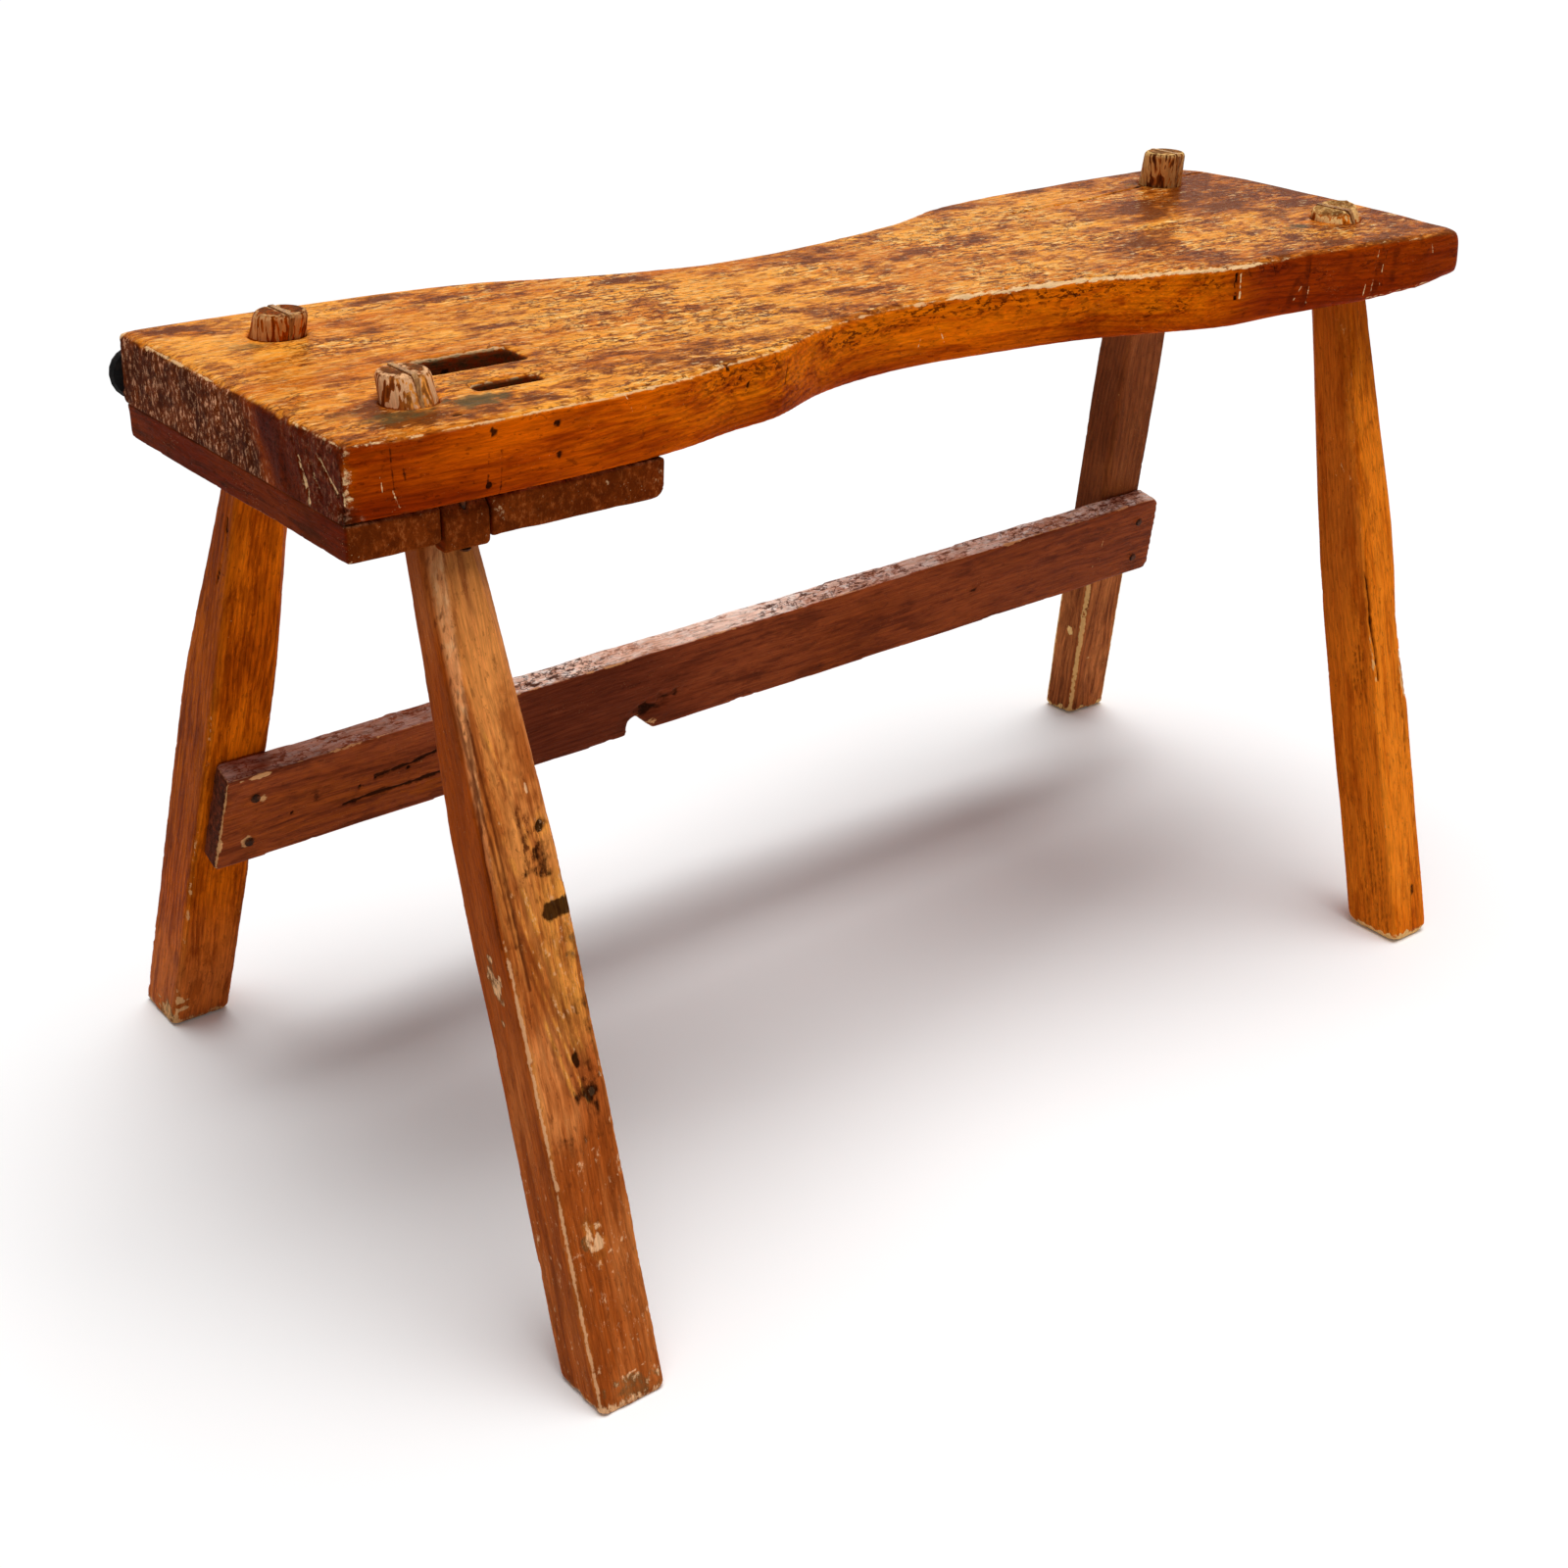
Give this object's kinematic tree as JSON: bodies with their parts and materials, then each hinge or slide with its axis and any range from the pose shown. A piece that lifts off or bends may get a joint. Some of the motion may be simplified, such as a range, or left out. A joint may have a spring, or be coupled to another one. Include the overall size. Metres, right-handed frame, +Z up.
{
  "type": "cobblers bench",
  "caption": "Waisted plank bench seat on splayed, wedge-tenoned legs with a rail nailed between the back legs and cleats and tool slots at one end.",
  "frame": {"origin": "centre of the bounding box in plan, on the floor under the feet", "axes": "+X along the bench towards the end without cleats, +Y towards the rail side, +Z up"},
  "size_m": [1.2414, 0.7236, 0.7106],
  "materials": {
    "seat_wood": "worn waxed orange-brown plank, mottled, satin",
    "leg_wood": "waxed orange-brown, hewn, satin",
    "rail_wood": "dark red-brown, satin",
    "cleat_wood": "dark brown, rough sawn",
    "wedge_wood": "pale, dull",
    "nail_iron": "rusty dark iron",
    "black_iron": "blackened iron"
  },
  "bodies": {
    "root": {"seat_plank": "seat_wood", "back_knob": "black_iron", "leg_front_left": "leg_wood", "wedge_front_left": "wedge_wood", "leg_back_left": "leg_wood", "wedge_back_left": "wedge_wood", "leg_back_right": "leg_wood", "wedge_back_right": "wedge_wood", "leg_front_right": "leg_wood", "wedge_front_right": "wedge_wood", "back_rail": "rail_wood", "rail_nail_1": "nail_iron", "rail_nail_2": "nail_iron", "rail_nail_3": "nail_iron", "rail_nail_4": "nail_iron", "end_cleat": "cleat_wood", "split_strip_front": "cleat_wood", "split_strip_middle": "cleat_wood", "split_strip_back": "cleat_wood", "inner_cleat": "cleat_wood", "cleat_nail_1": "nail_iron", "cleat_nail_2": "nail_iron", "cleat_nail_3": "nail_iron", "cleat_nail_4": "nail_iron", "cleat_nail_5": "nail_iron", "cleat_nail_6": "nail_iron", "cleat_nail_7": "nail_iron", "cleat_nail_8": "nail_iron", "cleat_nail_9": "nail_iron", "cleat_nail_10": "nail_iron", "cleat_nail_11": "nail_iron"}
  },
  "joints": []
}
